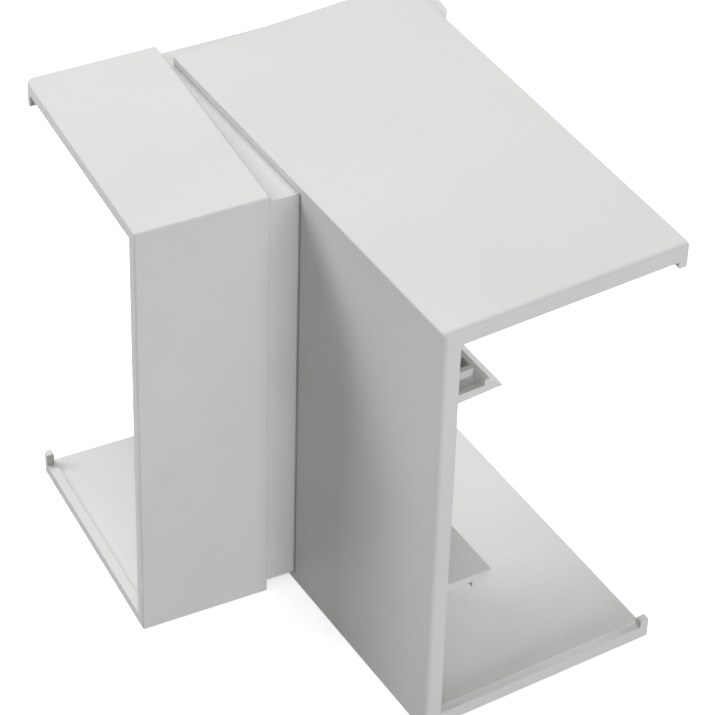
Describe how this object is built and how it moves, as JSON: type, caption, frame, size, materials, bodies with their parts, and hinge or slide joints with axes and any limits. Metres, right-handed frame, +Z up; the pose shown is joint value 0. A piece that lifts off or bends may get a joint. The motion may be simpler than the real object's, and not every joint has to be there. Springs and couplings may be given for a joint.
{
  "type": "trunking inside corner",
  "caption": "Light grey plastic inside corner cover for cable trunking: a stepped inner half pivots between the plates of an outer half, and both are open towards the walls.",
  "frame": {"origin": "Under the middle of the whole cover's bounding box, on the surface it stands on, with the halves as stored at 95.5 degrees.", "axes": "+Z up along the corner and the pivot. +Y runs along the right half from its trunking mouth back past the corner. +X runs from the right half's front face towards its wall."},
  "size_m": [0.0976, 0.113, 0.108],
  "materials": {
    "cover_plastic": "smooth satin light grey moulding"
  },
  "bodies": {
    "right": {"right_half": "cover_plastic"},
    "left": {"left_half": "cover_plastic"}
  },
  "joints": [
    {"name": "corner_pivot", "type": "hinge", "parent": "right", "child": "left", "pos_m": [-0.00984, 0.00027, 0.054], "axis": [0, 0, -1], "range_deg": [-13, 2]}
  ]
}
